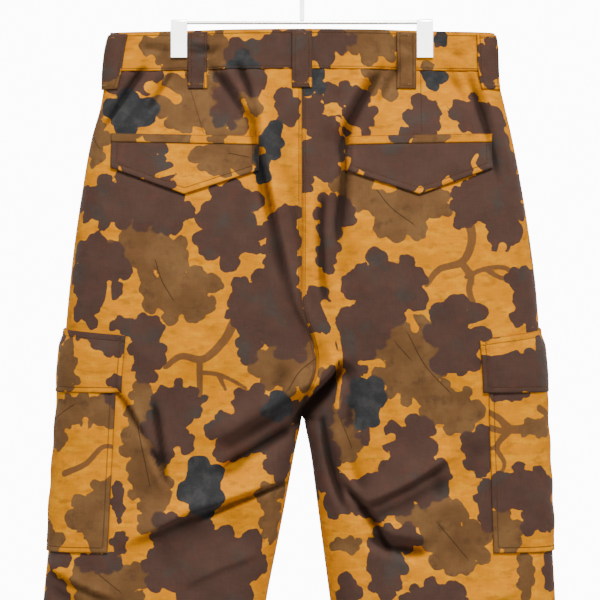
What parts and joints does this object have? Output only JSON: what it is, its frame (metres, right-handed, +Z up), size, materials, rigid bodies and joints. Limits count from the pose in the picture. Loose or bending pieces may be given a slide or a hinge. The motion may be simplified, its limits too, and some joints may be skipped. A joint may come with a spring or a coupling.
{
  "type": "cargo pants on a clip hanger",
  "caption": "Straight-leg cargo pants with flapped back pockets and cargo pockets on the outseams, hung flat by the waistband from a metal clip hanger.",
  "frame": {"origin": "inside top of the hanger's hook, where a rail carries it", "axes": "+Z up, +X towards the wearer's left, +Y towards the wearer's back"},
  "size_m": [0.5701, 0.0876, 1.1591],
  "materials": {
    "printed_cotton": "matt plain-weave cotton printed with a leaf camouflage",
    "band_cotton": "the same printed cotton, folded and topstitched",
    "trim_cotton": "the same printed cotton in folded and edge-stitched pieces",
    "button_plastic": "dark brown plastic",
    "polished_steel": "polished steel"
  },
  "bodies": {
    "root": {"left_front_panel": "printed_cotton", "left_back_panel": "printed_cotton", "right_front_panel": "printed_cotton", "right_back_panel": "printed_cotton", "waistband": "band_cotton", "belt_loop_centre_back": "trim_cotton", "belt_loop_back_left": "trim_cotton", "belt_loop_back_right": "trim_cotton", "belt_loop_side_left": "trim_cotton", "belt_loop_side_right": "trim_cotton", "belt_loop_front_left": "trim_cotton", "belt_loop_front_right": "trim_cotton", "left_back_pocket_welt": "trim_cotton", "left_back_pocket_flap": "trim_cotton", "right_back_pocket_welt": "trim_cotton", "right_back_pocket_flap": "trim_cotton", "left_cargo_pocket": "printed_cotton", "left_cargo_flap": "trim_cotton", "right_cargo_pocket": "printed_cotton", "right_cargo_flap": "trim_cotton", "fly_placket": "trim_cotton", "waist_button": "button_plastic", "hanger_bar": "polished_steel", "hanger_hook": "polished_steel", "hanger_clip_left": "polished_steel", "hanger_clip_right": "polished_steel"}
  },
  "joints": []
}
